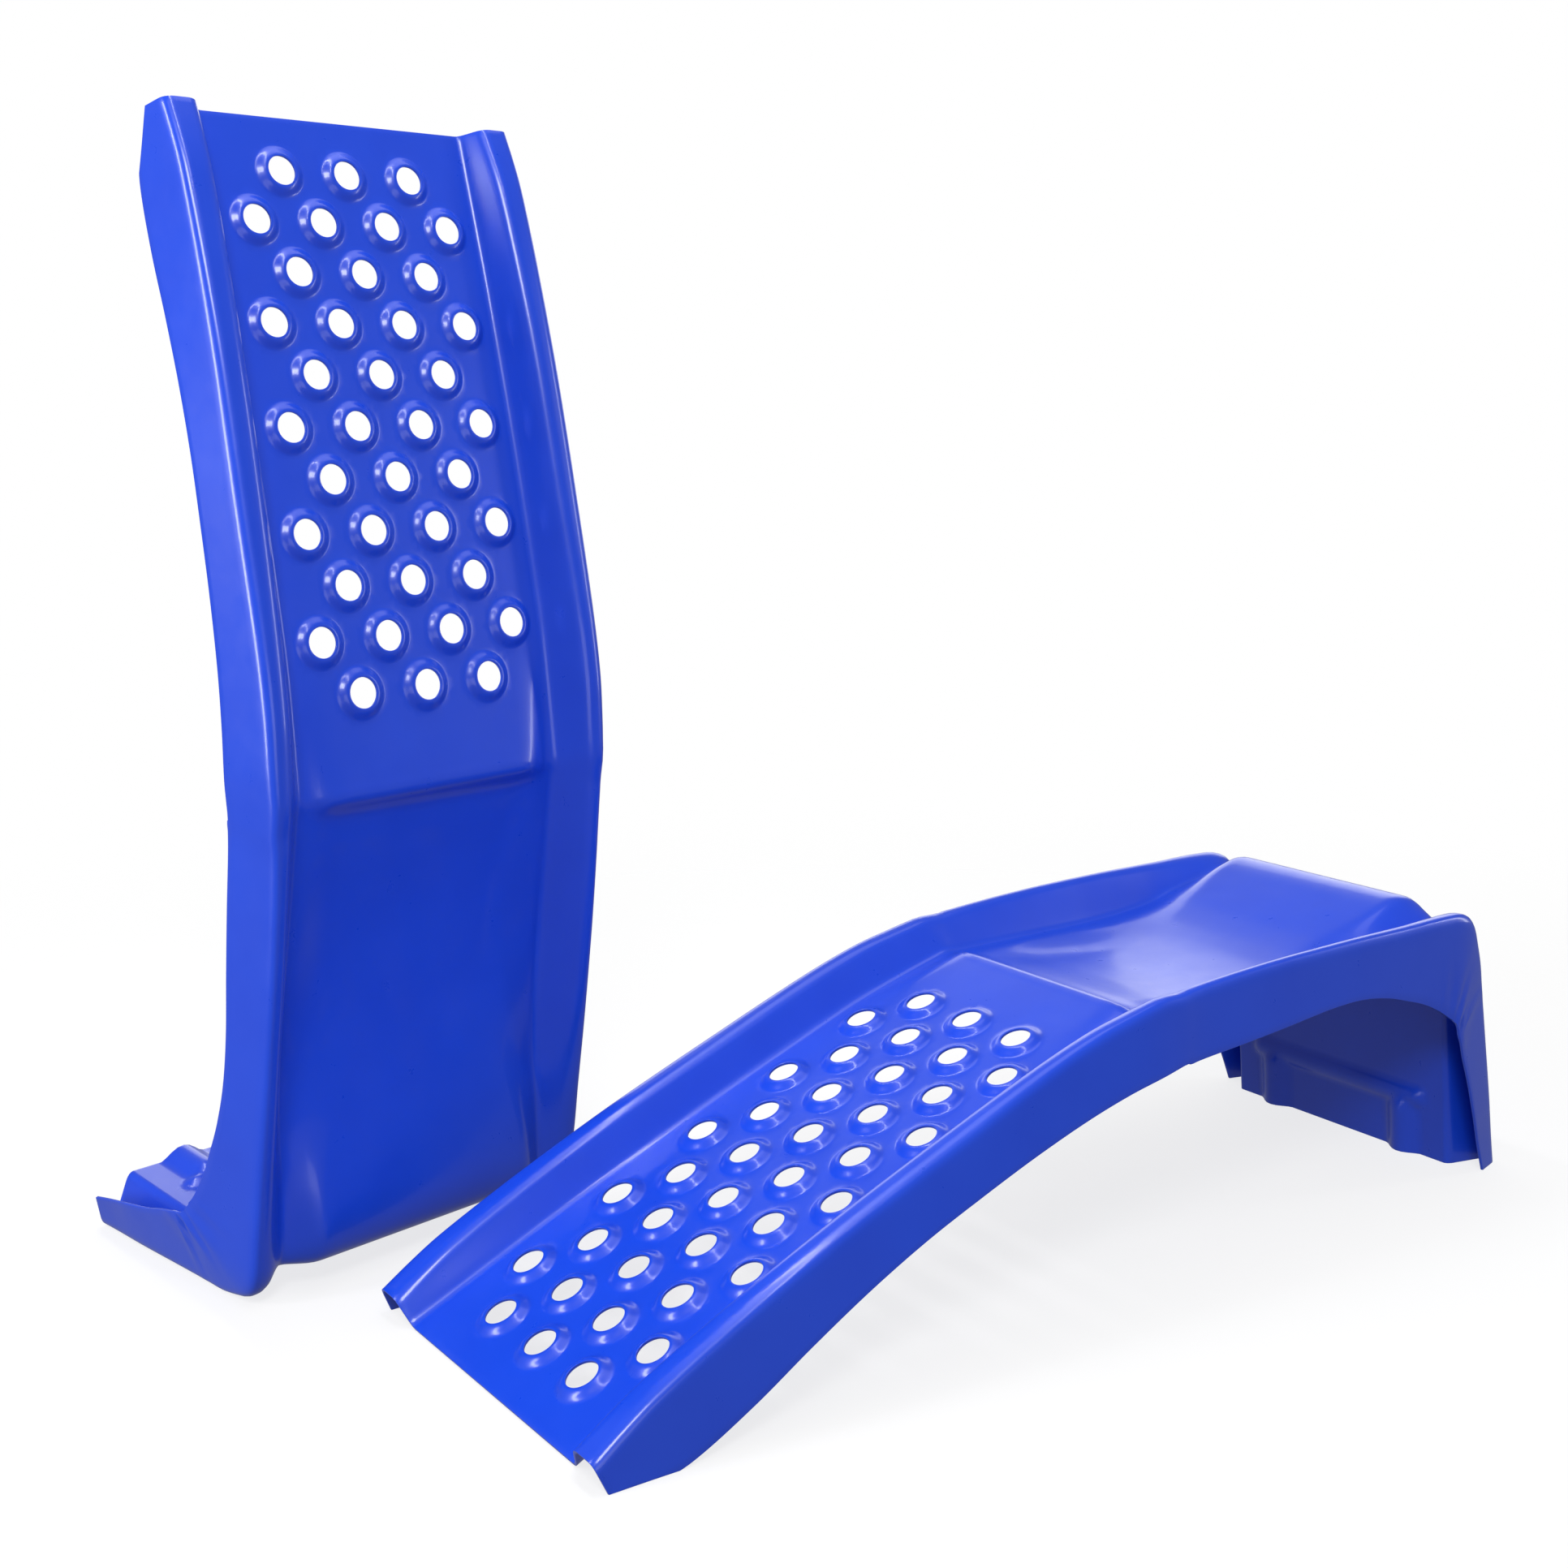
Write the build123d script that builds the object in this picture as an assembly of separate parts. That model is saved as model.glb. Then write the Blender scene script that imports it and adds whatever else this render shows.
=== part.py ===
"""Pair of pressed sheet steel wheel ramps: one lying ready for use, one standing on its leg."""
import math
import os
from build123d import *

# ---- driving dimensions (mm, degrees) ----
ramp_length = 838.0  # front lip to the heel of the leg, on the floor
ramp_height = 219.5  # floor to the top of the wheel stop
ramp_width = 310.0  # over the lower edges of the skirts
sheet = 2.0  # steel thickness
deck_share = 0.5451  # part of the length that the incline takes, lip to step
deck_top = 188.0  # height of the incline at the step
deck_bend = 6.5  # the incline flattens by this angle from lip to step
hole_diameter = 22.0
hole_pitch_across = 55.0
hole_pitch_along = 38.0
hole_first_row = 42.0  # lip to the first row of holes, along the slope
hole_last_clear = 55.0  # plain sheet kept between the last row and the step
bump_foot_radius = 20.5
bump_height = 6.0
stand_x = 52.0  # heel of the standing ramp on the floor
stand_y = 272.0
stand_turn = 101.7  # direction its leg points, from the lying ramp's length
leg_rib_depth = 9.0  # two upright ribs at the foot of the leg, pressed inwards
leg_rib_width = 30.0
leg_rib_top = 36.0
leg_rib_y = 70.0
cross_rib_depth = 5.0  # one rib across the leg above them
cross_rib_width = 19.0
cross_rib_height = 47.0
row_spacing = 28.0  # between the sections that the sheet is drawn through

# The pressing is drawn by four lines that run from the lip, over the top and down the leg:
# D the middle of the sheet, G the strip beside it, C the crest of the side flange and
# E the free lower edge of the skirt. x and z of each line, station by station, past the deck.
# The lines and widths below are for a ramp of this size and are stretched to the size above.
nominal_length = 838.0
nominal_height = 219.5
nominal_width = 310.0
top_and_leg = [
    # D, G, C, E
    ((464, 184.5), (465, 181), (470, 205), (470, 157)),
    ((471, 180.5), (472, 181), (477, 206), (476, 157.5)),
    ((490, 178), (490, 181), (494, 207.5), (492, 158.5)),
    ((530, 174), (530, 181), (532, 210), (530, 161)),
    ((575, 173), (575, 181), (577, 212), (575, 164.5)),
    ((620, 177), (620, 181.5), (622, 213), (620, 168.5)),
    ((656, 184.5), (658, 184), (660, 213.5), (655, 169)),
    ((684, 192.5), (688, 188), (692, 213.5), (684, 165)),
    ((705, 200), (712, 194), (717, 213.5), (706, 159)),
    ((732, 210), (740, 199), (744, 214), (728, 152)),
    ((752, 217), (762, 203), (767, 214), (745, 144)),
    ((766, 219.5), (776, 204.5), (783, 213), (756, 137)),
    ((778, 218), (784, 202), (794, 209), (762, 133)),
    ((786, 211), (788, 195), (801, 201), (766, 128)),
    ((789.5, 200), (790, 186), (805.5, 190), (768, 121)),
    ((791, 185), (791, 172), (811, 172), (771, 113)),
    ((793, 150), (793, 145), (814.7, 147), (776, 100)),
    ((795.5, 105), (795.5, 105), (820.9, 105), (785, 78)),
    ((798, 57), (798, 57), (828, 57), (795, 47)),
    ((800, 20), (800, 20), (833.4, 20), (804.5, 20)),
    ((801.5, -10), (801.5, -10), (837.9, -10), (815, -10)),
]
# share of the deck run: crest rise, skirt drop and side strip drop, square to the deck
deck_shape = [
    (0.0, 19, 8, 0),
    (0.05, 23, 17, 0),
    (0.1, 26, 23, 0),
    (0.2, 28, 22, 0),
    (0.3, 29, 16.5, 0),
    (0.4, 29.5, 12, 0),
    (0.5, 29, 10, 0),
    (0.6, 28.5, 11, 0),
    (0.7, 28.5, 13, 0),
    (0.8, 28, 16.5, 0),
    (0.88, 26, 21, 2),
    (0.95, 21.5, 27, 4.5),
    (0.985, 19, 30, 6),
    (1.0, 18, 31.5, 6.8),
]
# y of the corners of the half section, at the station numbers named
section_widths = [
    # station, middle edge, strip, foot, crest inside, crest outside, skirt edge
    (0, 96, 105, 113, 124, 148, 152),
    (6, 96, 105, 113, 127, 146, 155),
    (10, 92, 104, 113, 130, 145, 153),
    (13, 88, 102, 113, 131, 144, 150),
    (17, 75, 104, 113, 132, 142, 148),
    (19, 70, 106, 114, 132, 142, 147),
    (21, 80, 108, 114, 131, 142, 147),
    (23, 90, 110, 115, 130, 142, 147),
    (25, 91, 111, 115.5, 128, 141, 148),
    (27, 92, 111, 115.5, 126, 139, 149),
    (29, 96, 110, 115, 125, 137, 149),
    (31, 98, 108, 114, 123, 136, 146),
    (34, 98, 107, 113, 122, 133, 140),
]
corner_reach = (14.0, 5.0, 6.0, 7.0, 8.0)  # how far each corner of the section is rounded
heel_line = ((811.0, 172.0), (837.9, -10.0))  # straight rear crest of the leg, stood on when upright
leg_wall = ((791.0, 185.0), (801.5, -10.0))  # rear face of the leg between its flanges

scale_x = ramp_length / nominal_length
scale_y = ramp_width / nominal_width
scale_z = ramp_height / nominal_height
deck_end = deck_share * ramp_length
deck_rise = deck_top * scale_z - sheet
deck_slope = math.atan2(deck_rise, deck_end)
deck_run = math.hypot(deck_end, deck_rise) * math.radians(deck_bend / 2) / math.sin(math.radians(deck_bend / 2))


def deck_point(along):
    """Point and slope of the deck's top skin at a distance from the lip."""
    bend = -math.radians(deck_bend) / deck_run
    start = deck_slope + math.radians(deck_bend / 2)
    angle = start + bend * along
    x = (math.sin(angle) - math.sin(start)) / bend
    z = sheet - (math.cos(angle) - math.cos(start)) / bend
    return x, z, angle


def stations():
    """One row per station: x and z of D, G, C and E, then the six half widths."""
    rows = []
    for share, rise, drop, strip in deck_shape:
        x, z, angle = deck_point(share * deck_run)
        up_x = -math.sin(angle)
        up_z = math.cos(angle)
        row = [x, z]
        for offset in (-strip, rise, -drop):
            row += [x + offset * up_x, z + offset * up_z]
        rows.append(row)
    for lines in top_and_leg:
        row = []
        for x, z in lines:
            row += [x * scale_x, z * scale_z]
        rows.append(row)
    for number, row in enumerate(rows):
        after = 1
        while section_widths[after][0] < number:
            after += 1
        low = section_widths[after - 1]
        high = section_widths[after]
        share = (number - low[0]) / (high[0] - low[0])
        share = share * share * (3 - 2 * share)
        row += [(low[k] + share * (high[k] - low[k])) * scale_y for k in range(1, 7)]
    return rows


def smooth_rows(rows, spacing):
    """Curve through the stations, sampled about every spacing mm."""
    knots = [0.0]
    for before, after in zip(rows, rows[1:]):
        gap = sum(math.hypot(after[k] - before[k], after[k + 1] - before[k + 1]) for k in (0, 4, 6)) / 3
        knots.append(knots[-1] + gap)
    slopes = []
    for k in range(len(rows)):
        low = max(k - 1, 0)
        high = min(k + 1, len(rows) - 1)
        slopes.append([(b - a) / (knots[high] - knots[low]) for a, b in zip(rows[low], rows[high])])
    fine = []
    for k in range(len(rows) - 1):
        step = knots[k + 1] - knots[k]
        count = max(1, round(step / spacing))
        for part in range(count):
            t = part / count
            h00 = 2 * t**3 - 3 * t**2 + 1
            h10 = t**3 - 2 * t**2 + t
            h01 = 3 * t**2 - 2 * t**3
            h11 = t**3 - t**2
            fine.append([
                h00 * a + h10 * step * sa + h01 * b + h11 * step * sb
                for a, b, sa, sb in zip(rows[k], rows[k + 1], slopes[k], slopes[k + 1])
            ])
    fine.append(rows[-1])
    return fine


def half_section(row):
    """Points of the half section from the middle out to the skirt's edge, corners rounded."""
    dx, dz, gx, gz, cx, cz, ex, ez, middle, strip, foot, inside, outside, edge = row
    corners = [
        Vector(dx, 0, dz),
        Vector(dx, middle, dz),
        Vector(gx, strip, gz),
        Vector(gx, foot, gz),
        Vector(cx, inside, cz),
        Vector(cx, outside, cz),
        Vector(ex, edge, ez),
    ]
    points = [corners[0] * (1 - t) + corners[1] * t for t in (0, 0.25, 0.5, 0.7)]
    for k, reach in enumerate(corner_reach, 1):
        back = corners[k - 1] - corners[k]
        ahead = corners[k + 1] - corners[k]
        start = corners[k] + back.normalized() * min(reach, 0.46 * back.length)
        end = corners[k] + ahead.normalized() * min(reach, 0.46 * ahead.length)
        for t in (0, 0.25, 0.5, 0.75, 1):
            points.append(start * (1 - t) ** 2 + corners[k] * (2 * t * (1 - t)) + end * t**2)
    last = points[-1]
    points += [last * (1 - t) + corners[-1] * t for t in (0.33, 0.67, 1)]
    return points


def skins():
    """Grids of points of the upper and lower skin of the sheet."""
    upper = []
    for row in smooth_rows(stations(), row_spacing):
        half = half_section(row)
        upper.append([Vector(p.X, -p.Y, p.Z) for p in reversed(half[1:])] + half)
    lower = []
    last_row = len(upper) - 1
    last_column = len(upper[0]) - 1
    for i, line in enumerate(upper):
        under = []
        for j, point in enumerate(line):
            along = upper[min(i + 1, last_row)][j] - upper[max(i - 1, 0)][j]
            across = line[min(j + 1, last_column)] - line[max(j - 1, 0)]
            under.append(point - along.cross(across).normalized() * sheet)
        lower.append(under)
    return upper, lower


def sheet_solid():
    """The plain pressing, without bumps, holes and ribs, running on below the floor."""
    upper, lower = skins()
    loops = []
    ends = []
    for over, under in zip(upper, lower):
        top = Edge.make_spline(over)
        bottom = Edge.make_spline(under)
        back = Edge.make_spline(list(reversed(under)))
        right = Edge.make_line(over[-1], under[-1])
        left = Edge.make_line(under[0], over[0])
        loops.append(Wire([top, right, back, left]))
        ends.append(Face.make_surface_from_curves(top, bottom))
    tube = Shell.make_loft(loops, ruled=True)
    return Solid(Shell(list(tube.faces()) + [ends[0], ends[-1]]))


def spun(points):
    """Solid of revolution about Z from (radius, height) points joined by straight lines."""
    outline = Polyline([(r, 0, z) for r, z in points], close=True)
    return revolve(make_face(outline), Axis.Z)


def hole_places():
    """Position of every hole: upright on the deck, top skin at zero."""
    rows = int((deck_run - hole_last_clear - hole_first_row) / hole_pitch_along) + 1
    flat_width = 2 * (113 * scale_y - corner_reach[2])
    most = int((flat_width - 2 * bump_foot_radius) / hole_pitch_across) + 1
    for number in range(rows):
        x, z, angle = deck_point(hole_first_row + number * hole_pitch_along)
        count = most - 1 if number % 2 == 0 else most
        for k in range(count):
            y = (k - (count - 1) / 2) * hole_pitch_across
            yield Pos(x, y, z) * Rot(0, -math.degrees(angle), 0)


def tread(solid):
    """Raise a bump around every hole, hollow it from below and pierce it."""
    foot = bump_foot_radius
    lip = hole_diameter / 2 + 1.6
    high = bump_height
    dome = spun([(0, -1), (foot + 1, -1), (foot - 1.5, 0.5), (lip + 2.4, high - 1.6), (lip, high), (0, high)])
    inner = high - sheet
    hollow = spun([(0, -4), (foot, -4), (foot - 3, -sheet + 0.3), (lip + 0.9, inner - 1.5), (lip - 1, inner), (0, inner)])
    punch = Cylinder(hole_diameter / 2, 4 * high)
    places = list(hole_places())
    raised = solid.fuse(*[place * dome for place in places])
    tools = [place * hollow for place in places] + [place * punch for place in places]
    return raised.cut(*tools)


def rib_bar(width, depth, shrink, length):
    """Round-ended bar along Z whose side stands depth proud of the plane x = 0."""
    radius = (width**2 / 4 + depth**2) / (2 * depth)
    offset = radius - depth
    bar = Cylinder(radius - shrink, length) + Pos(0, 0, length / 2) * Sphere(radius - shrink)
    bar = bar + Pos(0, 0, -length / 2) * Sphere(radius - shrink)
    return Pos(offset, 0, 0) * bar


def leg_ribs(solid):
    """Two upright ribs at the foot of the leg and one rib across it, pressed inwards."""
    (top_x, top_z), (low_x, low_z) = leg_wall
    slope = math.atan2((low_x - top_x) * scale_x, (top_z - low_z) * scale_z)
    at_floor = (low_x + low_z * math.tan(slope)) * scale_x
    wall = Pos(at_floor, 0, 0) * Rot(0, -math.degrees(slope), 0)
    tops = []
    hollows = []
    for shrink, group in ((0.0, tops), (sheet, hollows)):
        upright = Pos(-sheet, 0, 0) * rib_bar(leg_rib_width, leg_rib_depth, shrink, 2 * leg_rib_top)
        across = Pos(-sheet, 0, 0) * rib_bar(cross_rib_width, cross_rib_depth, shrink, 2 * leg_rib_y * scale_y)
        group.append(wall * Pos(0, leg_rib_y * scale_y, 0) * upright)
        group.append(wall * Pos(0, -leg_rib_y * scale_y, 0) * upright)
        group.append(wall * Pos(0, 0, cross_rib_height) * Rot(90, 0, 0) * across)
    inner_side = wall * Pos(-51, 0, 0) * Box(100, ramp_width, 400)
    return solid.fuse(*[inner_side & bar for bar in tops]).cut(*hollows)


def one_ramp():
    """One complete ramp, lip at x = 0, cut level at the floor."""
    ramp = leg_ribs(tread(sheet_solid()))
    floor = Pos(ramp_length / 2, 0, -50) * Box(2 * ramp_length, 2 * ramp_width, 100)
    return ramp - floor


def stood_up(ramp):
    """The same ramp resting on the rear crest of its leg."""
    (heel_x, heel_z), (toe_x, toe_z) = heel_line
    lean = math.degrees(math.atan2((toe_x - heel_x) * scale_x, (heel_z - toe_z) * scale_z))
    heel = Pos(-heel_x * scale_x, 0, -heel_z * scale_z)
    placed = Pos(stand_x, stand_y, 0) * Rot(0, 0, 180 + stand_turn) * Rot(0, 90 + lean, 0) * heel * ramp
    return Pos(0, 0, -placed.bounding_box().min.Z) * placed


if __name__ == "__main__":
    os.makedirs("parts", exist_ok=True)
    lying = one_ramp()
    upright = stood_up(lying)
    around = lying.bounding_box().add(upright.bounding_box())
    centre = Pos(-(around.min.X + around.max.X) / 2, -(around.min.Y + around.max.Y) / 2, 0)
    export_step(centre * lying, "parts/lying_ramp.step")
    export_step(centre * upright, "parts/upright_ramp.step")
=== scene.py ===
import math

import bmesh
import bpy
import numpy as np
from mathutils import Matrix, Vector, geometry


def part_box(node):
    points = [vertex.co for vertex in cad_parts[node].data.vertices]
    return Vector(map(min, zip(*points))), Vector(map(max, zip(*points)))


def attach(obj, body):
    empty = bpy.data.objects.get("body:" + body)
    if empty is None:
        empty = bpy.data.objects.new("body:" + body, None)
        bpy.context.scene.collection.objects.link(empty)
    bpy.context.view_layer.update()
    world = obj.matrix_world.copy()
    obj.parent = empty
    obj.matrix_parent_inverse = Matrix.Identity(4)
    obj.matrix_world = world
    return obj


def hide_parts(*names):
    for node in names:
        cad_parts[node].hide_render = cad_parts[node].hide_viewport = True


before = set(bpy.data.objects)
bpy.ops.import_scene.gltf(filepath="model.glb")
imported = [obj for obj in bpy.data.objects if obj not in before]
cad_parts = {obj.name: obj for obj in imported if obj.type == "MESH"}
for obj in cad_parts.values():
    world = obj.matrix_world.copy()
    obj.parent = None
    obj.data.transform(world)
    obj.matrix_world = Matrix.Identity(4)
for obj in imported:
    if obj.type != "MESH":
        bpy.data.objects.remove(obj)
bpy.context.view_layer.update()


# ---- The camera ----
# A normal lens at about hip height, to the left of the lying ramp's lip and almost level,
# so that the deck is seen from its low end and the standing ramp face on.
eye = Vector((-0.9393, -1.3427, 0.6413))
heading = math.radians(-36.89)
tilt = math.radians(3.04)
camera_data = bpy.data.cameras.new("camera")
camera_data.lens = 48.45
camera_data.sensor_width = 36.0
camera_data.shift_x = -0.0616
camera_data.shift_y = -0.1894
camera_data.clip_start = 0.02
camera = bpy.data.objects.new("camera", camera_data)
turn = Matrix.Rotation(heading, 4, "Z") @ Matrix.Rotation(-math.pi / 2 - tilt, 4, "X")
camera.matrix_world = Matrix.Translation(eye) @ turn @ Matrix.Diagonal((1, -1, -1, 1))
bpy.context.scene.collection.objects.link(camera)
bpy.context.scene.camera = camera


# ---- The pressing ----
# Each ramp is one sheet of 2 mm mild steel. A deep-drawing press folds its sides down into
# skirts, dishes the top for the wheel, turns up a stop and bends the far end down as a leg.
sheet = 0.002
mm = 0.001
deck_run = 0.49348
deck_angle_low = math.radians(25.405)
deck_angle_high = math.radians(18.905)
# share of the deck run: crest rise, skirt drop and side strip drop in mm, square to the deck
deck_shape = [
    (0.0, 19, 8, 0), (0.05, 23, 17, 0), (0.1, 26, 23, 0), (0.2, 28, 22, 0), (0.3, 29, 16.5, 0),
    (0.4, 29.5, 12, 0), (0.5, 29, 10, 0), (0.6, 28.5, 11, 0), (0.7, 28.5, 13, 0),
    (0.8, 28, 16.5, 0), (0.88, 26, 21, 2), (0.95, 21.5, 27, 4.5), (0.985, 19, 30, 6),
    (1.0, 18, 31.5, 6.8),
]
# x and z in mm of the sheet's middle, the strip beside it, the flange's crest and the skirt's edge
top_and_leg = [
    ((464, 184.5), (465, 181), (470, 205), (470, 157)),
    ((471, 180.5), (472, 181), (477, 206), (476, 157.5)),
    ((490, 178), (490, 181), (494, 207.5), (492, 158.5)),
    ((530, 174), (530, 181), (532, 210), (530, 161)),
    ((575, 173), (575, 181), (577, 212), (575, 164.5)),
    ((620, 177), (620, 181.5), (622, 213), (620, 168.5)),
    ((656, 184.5), (658, 184), (660, 213.5), (655, 169)),
    ((684, 192.5), (688, 188), (692, 213.5), (684, 165)),
    ((705, 200), (712, 194), (717, 213.5), (706, 159)),
    ((732, 210), (740, 199), (744, 214), (728, 152)),
    ((752, 217), (762, 203), (767, 214), (745, 144)),
    ((766, 219.5), (776, 204.5), (783, 213), (756, 137)),
    ((778, 218), (784, 202), (794, 209), (762, 133)),
    ((786, 211), (788, 195), (801, 201), (766, 128)),
    ((789.5, 200), (790, 186), (805.5, 190), (768, 121)),
    ((791, 185), (791, 172), (811, 172), (771, 113)),
    ((793, 150), (793, 145), (814.7, 147), (776, 100)),
    ((795.5, 105), (795.5, 105), (820.9, 105), (785, 78)),
    ((798, 57), (798, 57), (828, 57), (795, 47)),
    ((800, 20), (800, 20), (833.4, 20), (804.5, 20)),
    ((801.5, -10), (801.5, -10), (837.9, -10), (815, -10)),
]
# station number, then half widths in mm: middle's edge, strip, wall foot, crest inside,
# crest outside, skirt's edge
half_widths = [
    (0, 96, 105, 113, 124, 148, 152), (6, 96, 105, 113, 127, 146, 155),
    (10, 92, 104, 113, 130, 145, 153), (13, 88, 102, 113, 131, 144, 150),
    (17, 75, 104, 113, 132, 142, 148), (19, 70, 106, 114, 132, 142, 147),
    (21, 80, 108, 114, 131, 142, 147), (23, 90, 110, 115, 130, 142, 147),
    (25, 91, 111, 115.5, 128, 141, 148), (27, 92, 111, 115.5, 126, 139, 149),
    (29, 96, 110, 115, 125, 137, 149), (31, 98, 108, 114, 123, 136, 146),
    (34, 98, 107, 113, 122, 133, 140),
]
corner_reach = (0.014, 0.005, 0.006, 0.007, 0.008)  # how far each bend starts from its corner
bend_limit = 0.46  # and no further than this share of the flat beside it
# the stop's ends are struck sharper than the cradle's, fully so between the inner two stations
stop_corner_reach = 0.007
stop_stations = [21, 23, 29, 31]
leg_start = 30  # the first station on the leg
rib_station = 27  # no rib is pressed before this one
flat_half = 0.104  # the blank is plain in y up to here, beyond it follows the flange round
blank_half = 0.224


def deck_point(along):
    bend = (deck_angle_high - deck_angle_low) / deck_run
    angle = deck_angle_low + bend * along
    x = (math.sin(angle) - math.sin(deck_angle_low)) / bend
    z = sheet - (math.cos(angle) - math.cos(deck_angle_low)) / bend
    return x, z, angle


def guide_stations():
    rows = []
    places = []
    for share, rise, drop, strip in deck_shape:
        x, z, angle = deck_point(share * deck_run)
        row = [x, z]
        for offset in (-strip, rise, -drop):
            row += [x - offset * mm * math.sin(angle), z + offset * mm * math.cos(angle)]
        rows.append(row)
        places.append(share * deck_run)
    for lines in top_and_leg:
        row = [value * mm for pair in lines for value in pair]
        last = rows[-1]
        gaps = [math.hypot(row[k] - last[k], row[k + 1] - last[k + 1]) for k in (0, 4, 6)]
        places.append(places[-1] + sum(gaps) / 3)
        rows.append(row)
    numbers = [line[0] for line in half_widths]
    final = len(numbers) - 1
    for number, row in enumerate(rows):
        after = max(1, next(k for k, line in enumerate(numbers) if line > number or k == final))
        low, high = half_widths[after - 1], half_widths[after]
        share = (number - low[0]) / (high[0] - low[0])
        share = share * share * (3 - 2 * share)
        row += [(low[k] + share * (high[k] - low[k])) * mm for k in range(1, 7)]
    return np.array(places), np.array(rows)


def between_stations(places, rows, wanted):
    slopes = np.gradient(rows, places, axis=0)
    for k in range(1, len(places) - 1):
        slopes[k] = (rows[k + 1] - rows[k - 1]) / (places[k + 1] - places[k - 1])
    k = np.clip(np.searchsorted(places, wanted, side="right") - 1, 0, len(places) - 2)
    step = (places[k + 1] - places[k])[:, None]
    t = (wanted - places[k])[:, None] / step
    start = rows[k] * (2 * t**3 - 3 * t**2 + 1) + slopes[k] * step * (t**3 - 2 * t**2 + t)
    return start + rows[k + 1] * (3 * t**2 - 2 * t**3) + slopes[k + 1] * step * (t**3 - t**2)


def half_section(row, across, first_reach):
    dx, dz, gx, gz, cx, cz, ex, ez, middle, strip, foot, inside, outside, edge = row
    corners = np.array([
        (dx, 0, dz), (dx, middle, dz), (gx, strip, gz), (gx, foot, gz),
        (cx, inside, cz), (cx, outside, cz), (ex, edge, ez),
    ])
    line = [corners[0]]
    for k, reach in enumerate((first_reach,) + corner_reach[1:], 1):
        back = corners[k - 1] - corners[k]
        ahead = corners[k + 1] - corners[k]
        back_length = np.linalg.norm(back)
        ahead_length = np.linalg.norm(ahead)
        start = corners[k] + back / back_length * min(reach, bend_limit * back_length)
        end = corners[k] + ahead / ahead_length * min(reach, bend_limit * ahead_length)
        line += [line[-1] * (1 - t) + start * t for t in (0.25, 0.5, 0.75)]
        for t in np.linspace(0, 1, 9):
            line.append(start * (1 - t) ** 2 + corners[k] * (2 * t * (1 - t)) + end * t**2)
    line += [line[-1] * (1 - t) + corners[-1] * t for t in np.linspace(0.1, 1, 10)]
    line = np.array(line)
    number = np.arange(len(line), dtype=float)
    turn_off = np.interp(flat_half, line[:, 1], number)
    place = np.where(
        across <= flat_half,
        np.interp(across, line[:, 1], number),
        turn_off + (across - flat_half) / (blank_half - flat_half) * (len(line) - 1 - turn_off),
    )
    return np.stack([np.interp(place, number, line[:, axis]) for axis in range(3)], 1)


station_places, station_rows = guide_stations()
blank_length = station_places[-1]
die_along = np.linspace(0, blank_length, 801)
die_inner = np.linspace(0, flat_half, 105)
die_outer = np.linspace(flat_half, blank_half, 241)
die_across = np.concatenate([die_inner, die_outer[1:]])
die_rows = between_stations(station_places, station_rows, die_along)
stop_share = np.interp(die_along, station_places[stop_stations], [0, 1, 1, 0])
first_reaches = corner_reach[0] + (stop_corner_reach - corner_reach[0]) * stop_share
die = [half_section(row, die_across, reach) for row, reach in zip(die_rows, first_reaches)]
die = np.array(die)

# the step under the deck's end runs round in plan at both ends
step_place = deck_run + 0.006
step_width = 0.022
step_bend_start = 0.070
step_bend_width = 0.022
step_bend_depth = 0.013


def on_die(along, across):
    """Where the die holds a point of the flat blank."""
    side = np.abs(across)
    bend = np.clip((side - step_bend_start) / step_bend_width, 0, 1)
    near_step = np.exp(-((along - step_place) / step_width) ** 4)
    along = along + step_bend_depth * (1 - np.sqrt(1 - 0.98 * bend**2)) * near_step
    i = np.clip(along / die_along[1], 0, len(die_along) - 1.0001)
    j = np.interp(side, die_across, np.arange(len(die_across)))
    j = np.clip(j, 0, len(die_across) - 1.0001)
    i0, j0 = i.astype(int), j.astype(int)
    s, t = (i - i0)[:, None], (j - j0)[:, None]
    point = die[i0, j0] * (1 - s) * (1 - t) + die[i0 + 1, j0] * s * (1 - t)
    point = point + die[i0, j0 + 1] * (1 - s) * t + die[i0 + 1, j0 + 1] * s * t
    point[:, 1] *= np.where(across < 0, -1, 1)
    return point


def square_to_die(along, across, reach=0.0012):
    ahead = on_die(np.clip(along + reach, 0, blank_length), across)
    behind = on_die(np.clip(along - reach, 0, blank_length), across)
    left = on_die(along, np.clip(across + reach, -blank_half, blank_half))
    right = on_die(along, np.clip(across - reach, -blank_half, blank_half))
    normal = np.cross(ahead - behind, left - right)
    return normal / np.linalg.norm(normal, axis=1)[:, None]


# ---- The tread ----
# Eleven rows of holes, three and four in turn, are pierced and flared upwards in one stroke,
# which leaves a round bump with an open top at every hole, for the tyre to grip.
hole_diameter = 0.022
bump_foot = 0.0205
bump_height = 0.0043
hole_pitch_across = 0.055
hole_pitch_along = 0.038
hole_first_row = 0.042
hole_rows = 11
hole_sides = 48
panel_start = 0.014  # the pierced panel lies between these two places along the blank
panel_end = 0.450
panel_rows = 88
net_step = 0.0045  # the net of quads, finer on the leg, where the ribs are
leg_net_step = 0.0035
hair = 1e-6  # slack when two places are compared
foot_room = 0.0016  # no corner of the net stands nearer to a bump than this


def hole_centres():
    for number in range(hole_rows):
        count = 3 + number % 2
        for k in range(count):
            yield hole_first_row + number * hole_pitch_along, (k - (count - 1) / 2) * hole_pitch_across


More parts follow.
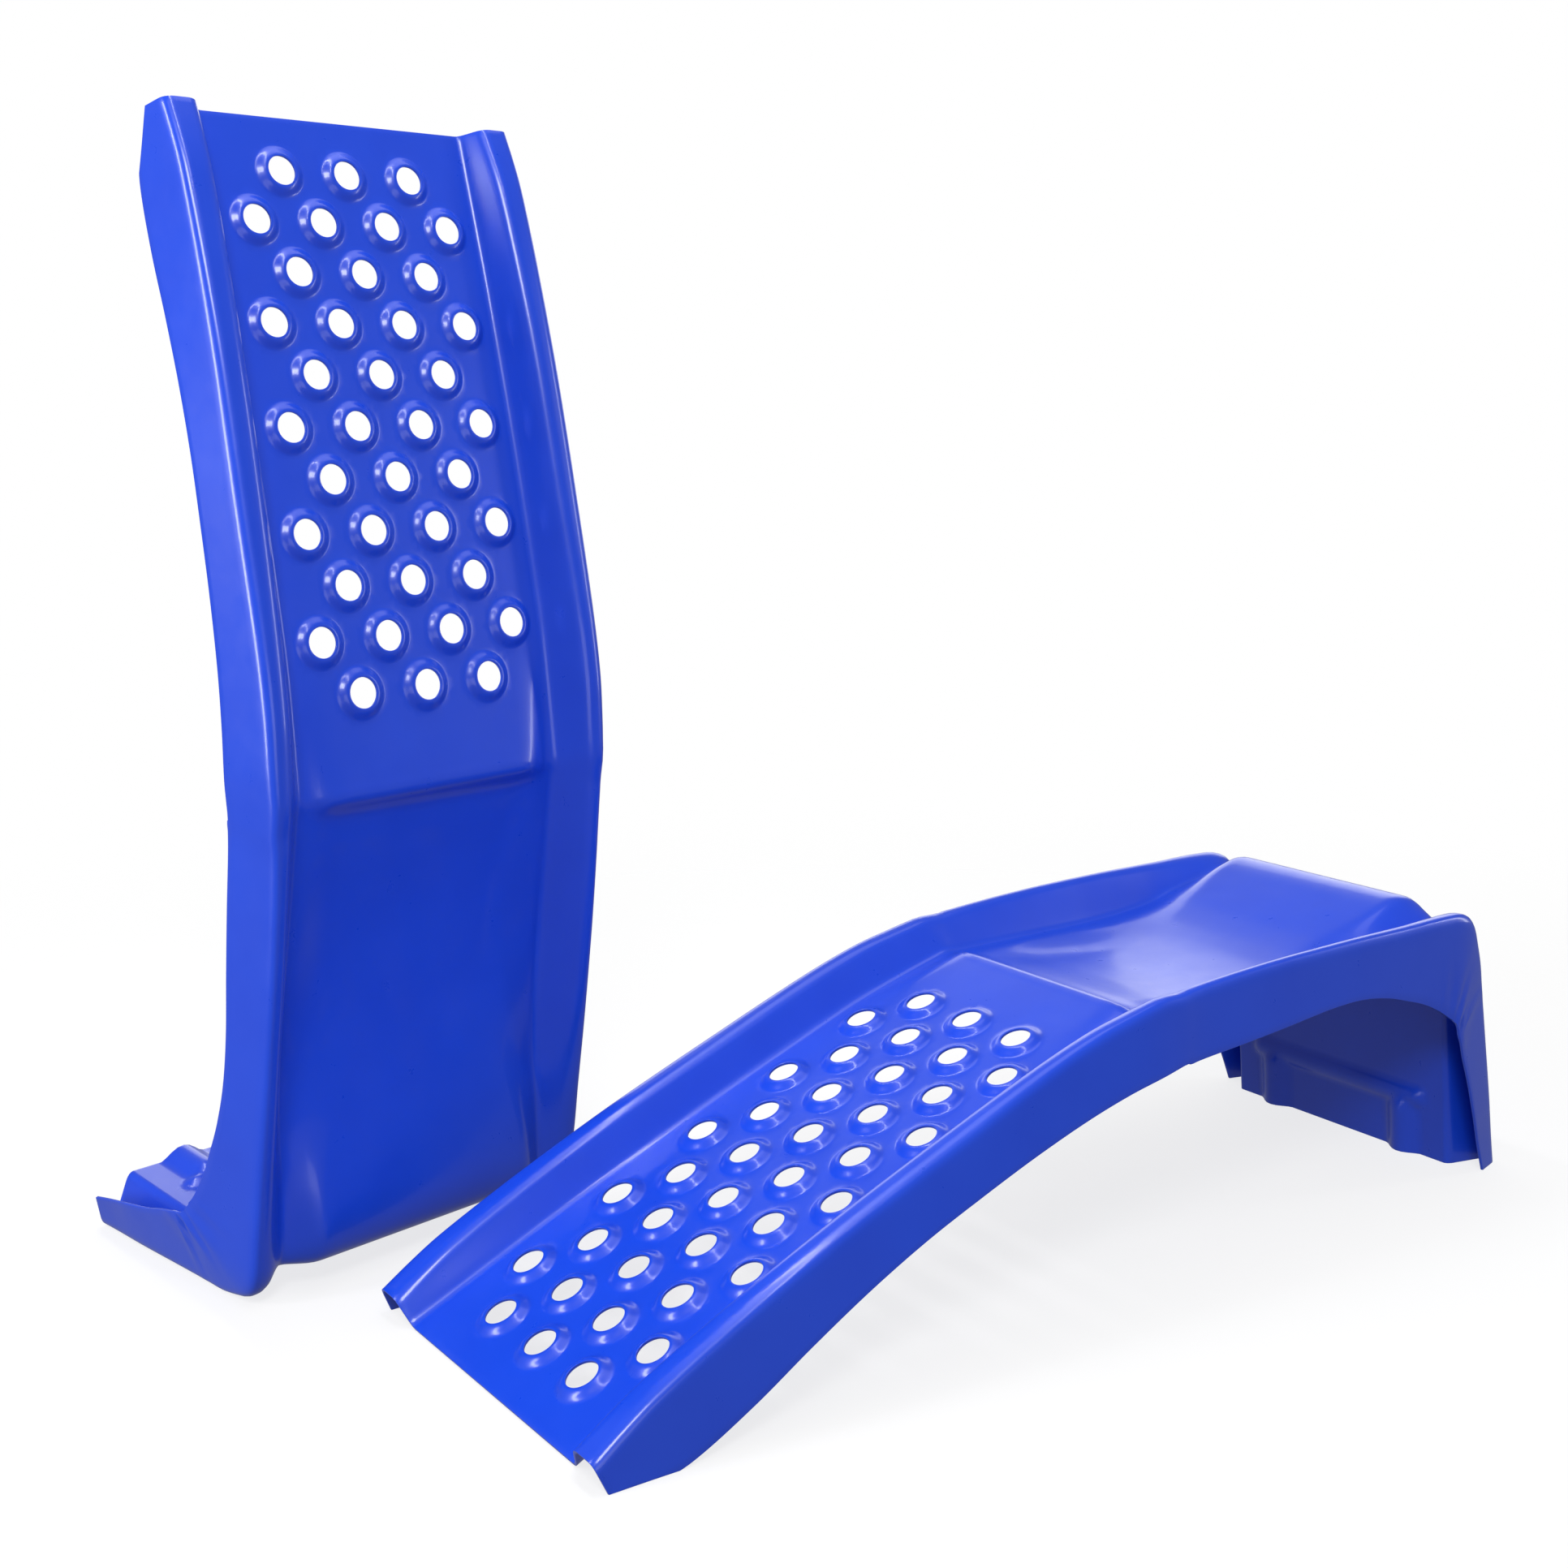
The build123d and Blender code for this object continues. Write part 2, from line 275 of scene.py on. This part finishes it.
def flat_blank():
    """The sheet before pressing: a net of quads, with a triangulated panel round the bump feet."""
    deck_lines = list(np.linspace(panel_start, panel_end, panel_rows))
    along_lines = list(np.linspace(0, panel_start, 4)[:-1]) + deck_lines
    along_lines += list(np.arange(panel_end + net_step, station_places[leg_start], net_step))
    leg_lines = np.arange(along_lines[-1] + leg_net_step, blank_length - 0.0017, leg_net_step)
    along_lines += list(leg_lines) + [blank_length]
    half_lines = list(np.linspace(0, flat_half, 25))
    half_lines += list(np.linspace(flat_half, blank_half, 41)[1:])
    across_lines = [-v for v in reversed(half_lines[1:])] + half_lines
    blank = bmesh.new()
    grid = {}
    for i, u in enumerate(along_lines):
        for j, v in enumerate(across_lines):
            between = panel_start + hair < u < panel_end - hair
            if not between or abs(v) > flat_half - hair:
                grid[i, j] = blank.verts.new((u, v, 0))
    for i in range(len(along_lines) - 1):
        for j in range(len(across_lines) - 1):
            keys = ((i, j), (i + 1, j), (i + 1, j + 1), (i, j + 1))
            corners = [grid.get(key) for key in keys]
            u = (along_lines[i] + along_lines[i + 1]) / 2
            v = (across_lines[j] + across_lines[j + 1]) / 2
            if all(corners) and not (panel_start < u < panel_end and abs(v) < flat_half):
                blank.faces.new(corners)
    points = []
    edges = []
    centres = list(hole_centres())
    for u, v in centres:
        first = len(points)
        for k in range(hole_sides):
            angle = 2 * math.pi * k / hole_sides
            points.append((u + bump_foot * math.cos(angle), v + bump_foot * math.sin(angle)))
            edges.append((first + k, first + (k + 1) % hole_sides))
    for u in deck_lines:
        for v in across_lines:
            if abs(v) < flat_half + hair:
                room = min(math.hypot(u - a, v - b) for a, b in centres)
                if room > bump_foot + foot_room or abs(v) > flat_half - hair:
                    points.append((u, v))
    made = geometry.delaunay_2d_cdt([Vector(p) for p in points], edges, [], 0, 1e-7)
    panel = [blank.verts.new((p.x, p.y, 0)) for p in made[0]]
    opening = bump_foot * math.cos(math.pi / hole_sides)
    for triangle in made[2]:
        u = sum(made[0][k].x for k in triangle) / 3
        v = sum(made[0][k].y for k in triangle) / 3
        if min(math.hypot(u - a, v - b) for a, b in centres) > opening:
            blank.faces.new([panel[k] for k in triangle])
    bmesh.ops.remove_doubles(blank, verts=blank.verts, dist=1e-5)
    for face in blank.faces:
        face.normal_update()
        if face.normal.z < 0:
            face.normal_flip()
    mesh = bpy.data.meshes.new("blank")
    blank.to_mesh(mesh)
    blank.free()
    return mesh


def add_node(tree, kind, settings=(), **inputs):
    """Add a node with its settings. Inputs are given by name, or by place as s0, s1 and so on."""
    node = tree.nodes.new(kind)
    for name, value in dict(settings).items():
        setattr(node, name, value)
    for socket, value in inputs.items():
        numbered = socket[0] == "s" and socket[1:].isdigit()
        key = int(socket[1:]) if numbered else socket.replace("_", " ")
        if isinstance(value, bpy.types.NodeSocket):
            tree.links.new(value, node.inputs[key])
        else:
            node.inputs[key].default_value = value
    return node


def tread_tree(paint):
    """Geometry Nodes: pierced bumps on a brick pattern, welded into the openings of the blank."""
    tree = bpy.data.node_groups.new("pierced tread", "GeometryNodeTree")
    sockets = tree.interface
    sockets.new_socket("Geometry", in_out="INPUT", socket_type="NodeSocketGeometry")
    lengths = ("Hole radius", "Foot radius", "Bump height", "Pitch across", "Pitch along", "First row")
    for name in lengths:
        sockets.new_socket(name, in_out="INPUT", socket_type="NodeSocketFloat")
    for name in ("Rows", "Sides"):
        sockets.new_socket(name, in_out="INPUT", socket_type="NodeSocketInt")
    sockets.new_socket("Geometry", in_out="OUTPUT", socket_type="NodeSocketGeometry")
    given = tree.nodes.new("NodeGroupInput").outputs

    # the bump's rise from the hole's edge, at 0, out to its foot, at 1
    place = add_node(tree, "GeometryNodeInputPosition")
    spot = add_node(tree, "ShaderNodeSeparateXYZ", Vector=place.outputs[0])
    profile = add_node(tree, "ShaderNodeFloatCurve")
    curve = profile.mapping.curves[0]
    curve.points[0].location = (0.0, 0.97)
    curve.points[1].location = (1.0, 0.0)
    for at, height in ((0.1, 1.0), (0.28, 0.9), (0.5, 0.62), (0.74, 0.24), (0.9, 0.05)):
        curve.points.new(at, height)
    profile.mapping.update()

    # each sum is named, and takes earlier sums, named inputs or plain numbers
    known = {socket.name: socket for socket in given if socket.name}
    known["point"] = add_node(tree, "GeometryNodeInputIndex").outputs[0]
    known["net x"], known["net y"] = spot.outputs["X"], spot.outputs["Y"]
    known["rise"] = profile.outputs[0]
    for name, kind, *terms in (
        ("quarter", "DIVIDE", "point", 4.0),
        ("row", "FLOOR", "quarter"),
        ("row start", "MULTIPLY", "row", 4.0),
        ("place in row", "SUBTRACT", "point", "row start"),
        ("four in row", "MODULO", "row", 2.0),
        ("along", "MULTIPLY_ADD", "row", "Pitch along", "First row"),
        ("from second", "SUBTRACT", "place in row", 1.0),
        ("half step", "MULTIPLY", "four in row", 0.5),
        ("steps aside", "SUBTRACT", "from second", "half step"),
        ("aside", "MULTIPLY", "steps aside", "Pitch across"),
        ("points", "MULTIPLY", "Rows", 4.0),
        ("fourth", "GREATER_THAN", "place in row", 2.5),
        ("row of three", "LESS_THAN", "four in row", 0.5),
        ("both", "MULTIPLY", "fourth", "row of three"),
        ("spare", "GREATER_THAN", "both", 0.5),
        ("corners", "ADD", "Sides", 1.0),
        ("outwards", "ADD", "net x", 0.5),
        ("part of turn", "ADD", "net y", 0.5),
        ("angle", "MULTIPLY", "part of turn", 2 * math.pi),
        ("collar width", "SUBTRACT", "Foot radius", "Hole radius"),
        ("radius", "MULTIPLY_ADD", "outwards", "collar width", "Hole radius"),
        ("cosine", "COSINE", "angle"),
        ("sine", "SINE", "angle"),
        ("collar x", "MULTIPLY", "radius", "cosine"),
        ("collar y", "MULTIPLY", "radius", "sine"),
        ("collar z", "MULTIPLY", "rise", "Bump height"),
    ):
        terms = {f"s{k}": known.get(term, term) for k, term in enumerate(terms)}
        known[name] = add_node(tree, "ShaderNodeMath", {"operation": kind}, **terms).outputs[0]
    tree.links.new(known["outwards"], profile.inputs["Value"])

    centre = add_node(tree, "ShaderNodeCombineXYZ", X=known["along"], Y=known["aside"])
    points = add_node(tree, "GeometryNodePoints", Count=known["points"], Position=centre.outputs[0])
    holes = add_node(tree, "GeometryNodeDeleteGeometry", {"domain": "POINT"},
                     Geometry=points.outputs[0], Selection=known["spare"])
    collar = add_node(tree, "GeometryNodeMeshGrid", Size_X=1.0, Size_Y=1.0, Vertices_X=10,
                      Vertices_Y=known["corners"])
    shape = add_node(tree, "ShaderNodeCombineXYZ", X=known["collar x"], Y=known["collar y"],
                     Z=known["collar z"])
    collar = add_node(tree, "GeometryNodeSetPosition", Geometry=collar.outputs[0],
                      Position=shape.outputs[0])
    collar = add_node(tree, "GeometryNodeMergeByDistance", Geometry=collar.outputs[0],
                      Distance=1e-6)
    spread = add_node(tree, "GeometryNodeInstanceOnPoints", Points=holes.outputs[0],
                      Instance=collar.outputs[0])
    real = add_node(tree, "GeometryNodeRealizeInstances", Geometry=spread.outputs[0])
    both = add_node(tree, "GeometryNodeJoinGeometry")
    tree.links.new(real.outputs[0], both.inputs[0])
    tree.links.new(given["Geometry"], both.inputs[0])
    weld = add_node(tree, "GeometryNodeMergeByDistance", Geometry=both.outputs[0], Distance=2e-5)
    smooth = add_node(tree, "GeometryNodeSetShadeSmooth", Geometry=weld.outputs[0])
    coated = add_node(tree, "GeometryNodeSetMaterial", Geometry=smooth.outputs[0], Material=paint)
    out = tree.nodes.new("NodeGroupOutput")
    tree.links.new(coated.outputs[0], out.inputs[0])
    return tree


# ---- The finish ----
# Pressed mild steel, degreased, sprayed with gloss blue enamel and baked. The eye sees a deep,
# even blue with soft bright lines along the bends, since the film flows slightly uneven.
def from_hex(code):
    """An sRGB hex colour as the linear one that a socket takes."""
    parts = [int(code[k:k + 2], 16) / 255 for k in (1, 3, 5)]
    linear = [c / 12.92 if c < 0.04045 else ((c + 0.055) / 1.055) ** 2.4 for c in parts]
    return tuple(linear) + (1.0,)


def gloss_enamel():
    paint = bpy.data.materials.new("gloss blue enamel on pressed steel")
    paint.use_nodes = True
    tree = paint.node_tree
    tree.nodes.clear()
    where = add_node(tree, "ShaderNodeTexCoord").outputs["Object"]
    # cloudy change of film thickness, 60 mm across
    cloud = add_node(tree, "ShaderNodeTexNoise", Vector=where, Scale=16.0, Detail=3.0, Roughness=0.5)
    tone = add_node(tree, "ShaderNodeMix", {"data_type": "RGBA"}, s0=cloud.outputs[0],
                    s6=from_hex("#1140CC"), s7=from_hex("#1849D8"))
    # orange peel, 2 mm from wave to wave and a few microns deep
    peel = add_node(tree, "ShaderNodeTexNoise", Vector=where, Scale=480.0, Detail=2.0, Roughness=0.4)
    # the steel's own slow unevenness after the press, 35 mm across
    sway = add_node(tree, "ShaderNodeTexNoise", Vector=where, Scale=28.0, Detail=1.0, Roughness=0.4)
    swell = add_node(tree, "ShaderNodeBump", Strength=0.05, Distance=0.002, Height=sway.outputs[0])
    skin = add_node(tree, "ShaderNodeBump", Strength=0.06, Distance=0.00008, Height=peel.outputs[0],
                    Normal=swell.outputs[0])
    # fine dust and wiping marks dull the gloss in patches 18 mm across
    dust = add_node(tree, "ShaderNodeTexNoise", Vector=where, Scale=55.0, Detail=6.0, Roughness=0.65)
    dull = add_node(tree, "ShaderNodeMapRange", Value=dust.outputs[0], s1=0.3, s2=0.8, s3=0.27,
                    s4=0.36)
    coat = add_node(tree, "ShaderNodeBsdfPrincipled", Base_Color=tone.outputs[2], IOR=1.5,
                    Roughness=dull.outputs[0], Normal=skin.outputs[0], Coat_Weight=0.35,
                    Coat_Roughness=0.11)
    add_node(tree, "ShaderNodeOutputMaterial", Surface=coat.outputs[0])
    return paint


# ---- One ramp, pierced, pressed and thickened ----
# The pierced blank is laid on the die, the leg gets its stiffening ribs and the skirts pucker
# where they turn the tight corner above the leg. The sheared edges are only painted round.
leg_rib_top = 0.036
leg_rib_y = 0.070
leg_rib_depth = 0.009
leg_rib_half = 0.0165
cross_rib_height = 0.047
cross_rib_end = 0.085
cross_rib_depth = 0.005
cross_rib_half = 0.0095
rib_shape = 1.3  # above 1 the rib's flanks are hollow at the foot
pucker_centre = (0.752, 0.118)
pucker_distance = 0.032
pucker_spread = 0.022
pucker_depth = 0.0007


def pressed_ramp(paint):
    tree = tread_tree(paint)
    blank = bpy.data.objects.new("blank", flat_blank())
    bpy.context.scene.collection.objects.link(blank)
    tread = blank.modifiers.new("tread", "NODES")
    tread.node_group = tree
    wanted = {
        "Hole radius": hole_diameter / 2, "Foot radius": bump_foot, "Bump height": bump_height,
        "Pitch across": hole_pitch_across, "Pitch along": hole_pitch_along, "First row": hole_first_row,
        "Rows": hole_rows, "Sides": hole_sides,
    }
    for item in tree.interface.items_tree:
        if item.item_type == "SOCKET" and item.in_out == "INPUT" and item.name in wanted:
            tread[item.identifier] = wanted[item.name]
    bpy.context.view_layer.update()
    ready = blank.evaluated_get(bpy.context.evaluated_depsgraph_get())
    mesh = bpy.data.meshes.new_from_object(ready)
    blank.modifiers.remove(tread)
    bpy.data.objects.remove(blank)

    flat = np.empty(len(mesh.vertices) * 3)
    mesh.vertices.foreach_get("co", flat)
    flat = flat.reshape(-1, 3)
    along, across, raised = flat[:, 0], flat[:, 1], flat[:, 2]
    point = on_die(along, across)
    normal = square_to_die(along, across)
    on_leg = (along > station_places[rib_station]) & (np.abs(across) < flat_half)
    side, up = np.abs(point[:, 1]), point[:, 2]
    upright = np.hypot(side - leg_rib_y, np.maximum(0, up - leg_rib_top)) / leg_rib_half
    level = np.hypot(np.maximum(0, side - cross_rib_end), up - cross_rib_height) / cross_rib_half
    upright_rib = leg_rib_depth * np.cos(np.clip(upright, 0, 1) * math.pi / 2) ** rib_shape
    cross_rib = cross_rib_depth * np.cos(np.clip(level, 0, 1) * math.pi / 2) ** rib_shape
    height = raised - np.where(on_leg, np.maximum(upright_rib, cross_rib), 0)
    # the skirt's folds fan out from a point inside the corner, and die away at both ends
    dx, dz = point[:, 0] - pucker_centre[0], up - pucker_centre[1]
    bearing = np.arctan2(dz, dx)
    fold = np.sin(bearing * 17 + 1.0) + 0.6 * np.sin(bearing * 29 + 2.0)
    fade = np.exp(-((np.hypot(dx, dz) - pucker_distance) / pucker_spread) ** 2)
    fade = fade * np.clip((bearing - 0.15) / 0.3, 0, 1) * np.clip((1.75 - bearing) / 0.4, 0, 1)
    on_skirt = np.abs(across) > flat_half + 0.07
    height = height + np.where(on_skirt, pucker_depth * fold * fade, 0)
    pressed = point + normal * height[:, None]
    mesh.vertices.foreach_set("co", pressed.ravel())
    mesh.update()

    trimmed = bmesh.new()
    trimmed.from_mesh(mesh)
    everything = list(trimmed.verts) + list(trimmed.edges) + list(trimmed.faces)
    bmesh.ops.bisect_plane(trimmed, geom=everything, dist=1e-6, plane_co=(0, 0, 0),
                           plane_no=(0, 0, -1), clear_outer=True)
    bmesh.ops.remove_doubles(trimmed, verts=trimmed.verts, dist=1e-5)
    trimmed.to_mesh(mesh)
    trimmed.free()
    ramp = bpy.data.objects.new("pressing", mesh)
    bpy.context.scene.collection.objects.link(ramp)
    wall = ramp.modifiers.new("sheet thickness", "SOLIDIFY")
    wall.thickness = sheet
    wall.offset = -1
    wall.use_even_offset = True
    edge = ramp.modifiers.new("painted edge", "BEVEL")
    edge.width = 0.0005
    edge.segments = 2
    edge.limit_method = "ANGLE"
    edge.angle_limit = math.radians(65)
    bpy.context.view_layer.update()
    ready = ramp.evaluated_get(bpy.context.evaluated_depsgraph_get())
    solid = bpy.data.meshes.new_from_object(ready)
    bpy.data.objects.remove(ramp)
    solid.shade_smooth()
    return solid


enamel = gloss_enamel()
ramp_mesh = pressed_ramp(enamel)


def placed_copy(name, node, spin):
    """A copy of the ramp, turned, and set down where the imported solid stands."""
    mesh = ramp_mesh.copy()
    mesh.name = name
    mesh.transform(spin)
    spots = np.empty(len(mesh.vertices) * 3)
    mesh.vertices.foreach_get("co", spots)
    spots = spots.reshape(-1, 3)
    low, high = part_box(node)
    middle = (np.array(low) + np.array(high)) / 2 - (spots.min(0) + spots.max(0)) / 2
    middle[2] = low[2] - spots[:, 2].min()
    spots = spots + middle
    spots[:, 2] = np.maximum(spots[:, 2], 0)
    mesh.vertices.foreach_set("co", spots.ravel())
    mesh.update()
    piece = bpy.data.objects.new(name, mesh)
    bpy.context.scene.collection.objects.link(piece)
    return piece


# ---- The lying ramp ----
# It stands ready for use: lip, skirts and leg on the floor. Pressed steel, enamelled all over.
lying = placed_copy("pressed_ramp_lying", "lying_ramp", Matrix.Identity(4))
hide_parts("lying_ramp")
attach(lying, "lying")


# ---- The standing ramp ----
# The same pressing stood on the rear crests of its leg, deck upright, to show the tread.
leg_lean = math.radians(8.4)
stand_turn = math.radians(101.7)
stood = Matrix.Rotation(math.pi + stand_turn, 4, "Z") @ Matrix.Rotation(math.pi / 2 + leg_lean, 4, "Y")
standing = placed_copy("pressed_ramp_standing", "upright_ramp", stood)
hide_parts("upright_ramp")
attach(standing, "upright")


# ---- The studio ----
# A pale seamless floor, a white surround and large soft boxes above, beside and behind.
def square_sheet(name, reach, height):
    mesh = bpy.data.meshes.new(name)
    corners = [(x * reach, y * reach, height) for x, y in ((-1, -1), (1, -1), (1, 1), (-1, 1))]
    mesh.from_pydata(corners, [], [(0, 1, 2, 3)])
    return mesh


def pale_floor():
    mesh = square_sheet("floor", 14.0, 0.0)
    floor = bpy.data.objects.new("floor", mesh)
    bpy.context.scene.collection.objects.link(floor)
    paper = bpy.data.materials.new("matt white paper")
    paper.use_nodes = True
    tree = paper.node_tree
    tree.nodes.clear()
    # a light table under thin paper softens every shadow, and the paper fades into the
    # bright surround, 0.7 m to 1.6 m from the middle
    spot = add_node(tree, "ShaderNodeTexCoord").outputs["Object"]
    away = add_node(tree, "ShaderNodeVectorMath", {"operation": "LENGTH"}, Vector=spot).outputs["Value"]
    fade = add_node(tree, "ShaderNodeMapRange", {"interpolation_type": "SMOOTHSTEP"}, Value=away,
                    From_Min=0.7, From_Max=1.6)
    matt = add_node(tree, "ShaderNodeBsdfDiffuse", Color=from_hex("#FAFAFA"))
    lit = add_node(tree, "ShaderNodeEmission", Color=(1, 1, 1, 1), Strength=1.0)
    table = add_node(tree, "ShaderNodeMixShader", Fac=0.78, s1=matt.outputs[0], s2=lit.outputs[0])
    clear = add_node(tree, "ShaderNodeBsdfTransparent")
    both = add_node(tree, "ShaderNodeMixShader", Fac=fade.outputs[0], s1=table.outputs[0],
                    s2=clear.outputs[0])
    add_node(tree, "ShaderNodeOutputMaterial", Surface=both.outputs[0])
    mesh.materials.append(paper)
    floor.visible_diffuse = False
    floor.visible_glossy = False


def white_surround():
    """A bright cyclorama far off, seen only directly, so that the gloss keeps its dark reflections."""
    mesh = bpy.data.meshes.new("surround")
    shape = bmesh.new()
    bmesh.ops.create_icosphere(shape, subdivisions=4, radius=30.0)
    bmesh.ops.reverse_faces(shape, faces=shape.faces)
    shape.to_mesh(mesh)
    shape.free()
    surround = bpy.data.objects.new("surround", mesh)
    bpy.context.scene.collection.objects.link(surround)
    glow = bpy.data.materials.new("lit white cloth")
    glow.use_nodes = True
    glow.node_tree.nodes.clear()
    light = add_node(glow.node_tree, "ShaderNodeEmission", Color=(1, 1, 1, 1), Strength=1.0)
    add_node(glow.node_tree, "ShaderNodeOutputMaterial", Surface=light.outputs[0])
    mesh.materials.append(glow)
    surround.visible_diffuse = False
    surround.visible_glossy = False
    surround.visible_shadow = False
    surround.visible_transmission = False


def bounce_sheet():
    """The pale floor as the gloss sees it, kept dim so that the blue stays deep."""
    mesh = square_sheet("bounce", 1.8, -0.002)
    bounce = bpy.data.objects.new("bounce", mesh)
    bpy.context.scene.collection.objects.link(bounce)
    card = bpy.data.materials.new("dim white card")
    card.use_nodes = True
    card.node_tree.nodes.clear()
    light = add_node(card.node_tree, "ShaderNodeEmission", Color=(1, 1, 1, 1), Strength=0.3)
    add_node(card.node_tree, "ShaderNodeOutputMaterial", Surface=light.outputs[0])
    mesh.materials.append(card)
    bounce.visible_camera = False
    bounce.visible_diffuse = False
    bounce.visible_shadow = False
    bounce.visible_transmission = False


def soft_box(name, place, aim, width, height, brightness):
    lamp = bpy.data.lights.new(name, "AREA")
    lamp.shape = "RECTANGLE"
    lamp.size = width
    lamp.size_y = height
    lamp.energy = brightness * math.pi * width * height
    box = bpy.data.objects.new(name, lamp)
    box.location = place
    box.rotation_euler = (Vector(aim) - Vector(place)).to_track_quat("-Z", "Y").to_euler()
    bpy.context.scene.collection.objects.link(box)


pale_floor()
bounce_sheet()
white_surround()
soft_box("key over the lip", (-1.5, -2.0, 2.3), (0, 0, 0.2), 0.8, 0.8, 20.0)
soft_box("left strip", (-2.3, 0.2, 0.9), (0, 0, 0.4), 0.35, 1.8, 17.0)
soft_box("right strip", (2.5, -1.1, 1.0), (0, 0, 0.2), 0.3, 1.6, 8.0)
soft_box("ceiling strip", (-0.35, 0.0, 2.0), (-0.35, 0.001, 0), 0.09, 3.0, 20.0)
soft_box("overhead", (0.3, 0.3, 2.4), (0, 0, 0.2), 1.6, 1.2, 1.2)
soft_box("back panel", (1.5, 2.0, 1.0), (0.1, 0, 0.2), 3.4, 1.3, 1.6)
soft_box("low front fill", (-0.7, -2.3, 0.5), (-0.1, 0, 0.25), 1.2, 0.8, 1.7)
world = bpy.data.worlds.new("dim room")
world.use_nodes = True
world.node_tree.nodes["Background"].inputs["Color"].default_value = (1, 1, 1, 1)
world.node_tree.nodes["Background"].inputs["Strength"].default_value = 0.24
bpy.context.scene.world = world
bpy.context.scene.view_settings.view_transform = "Standard"
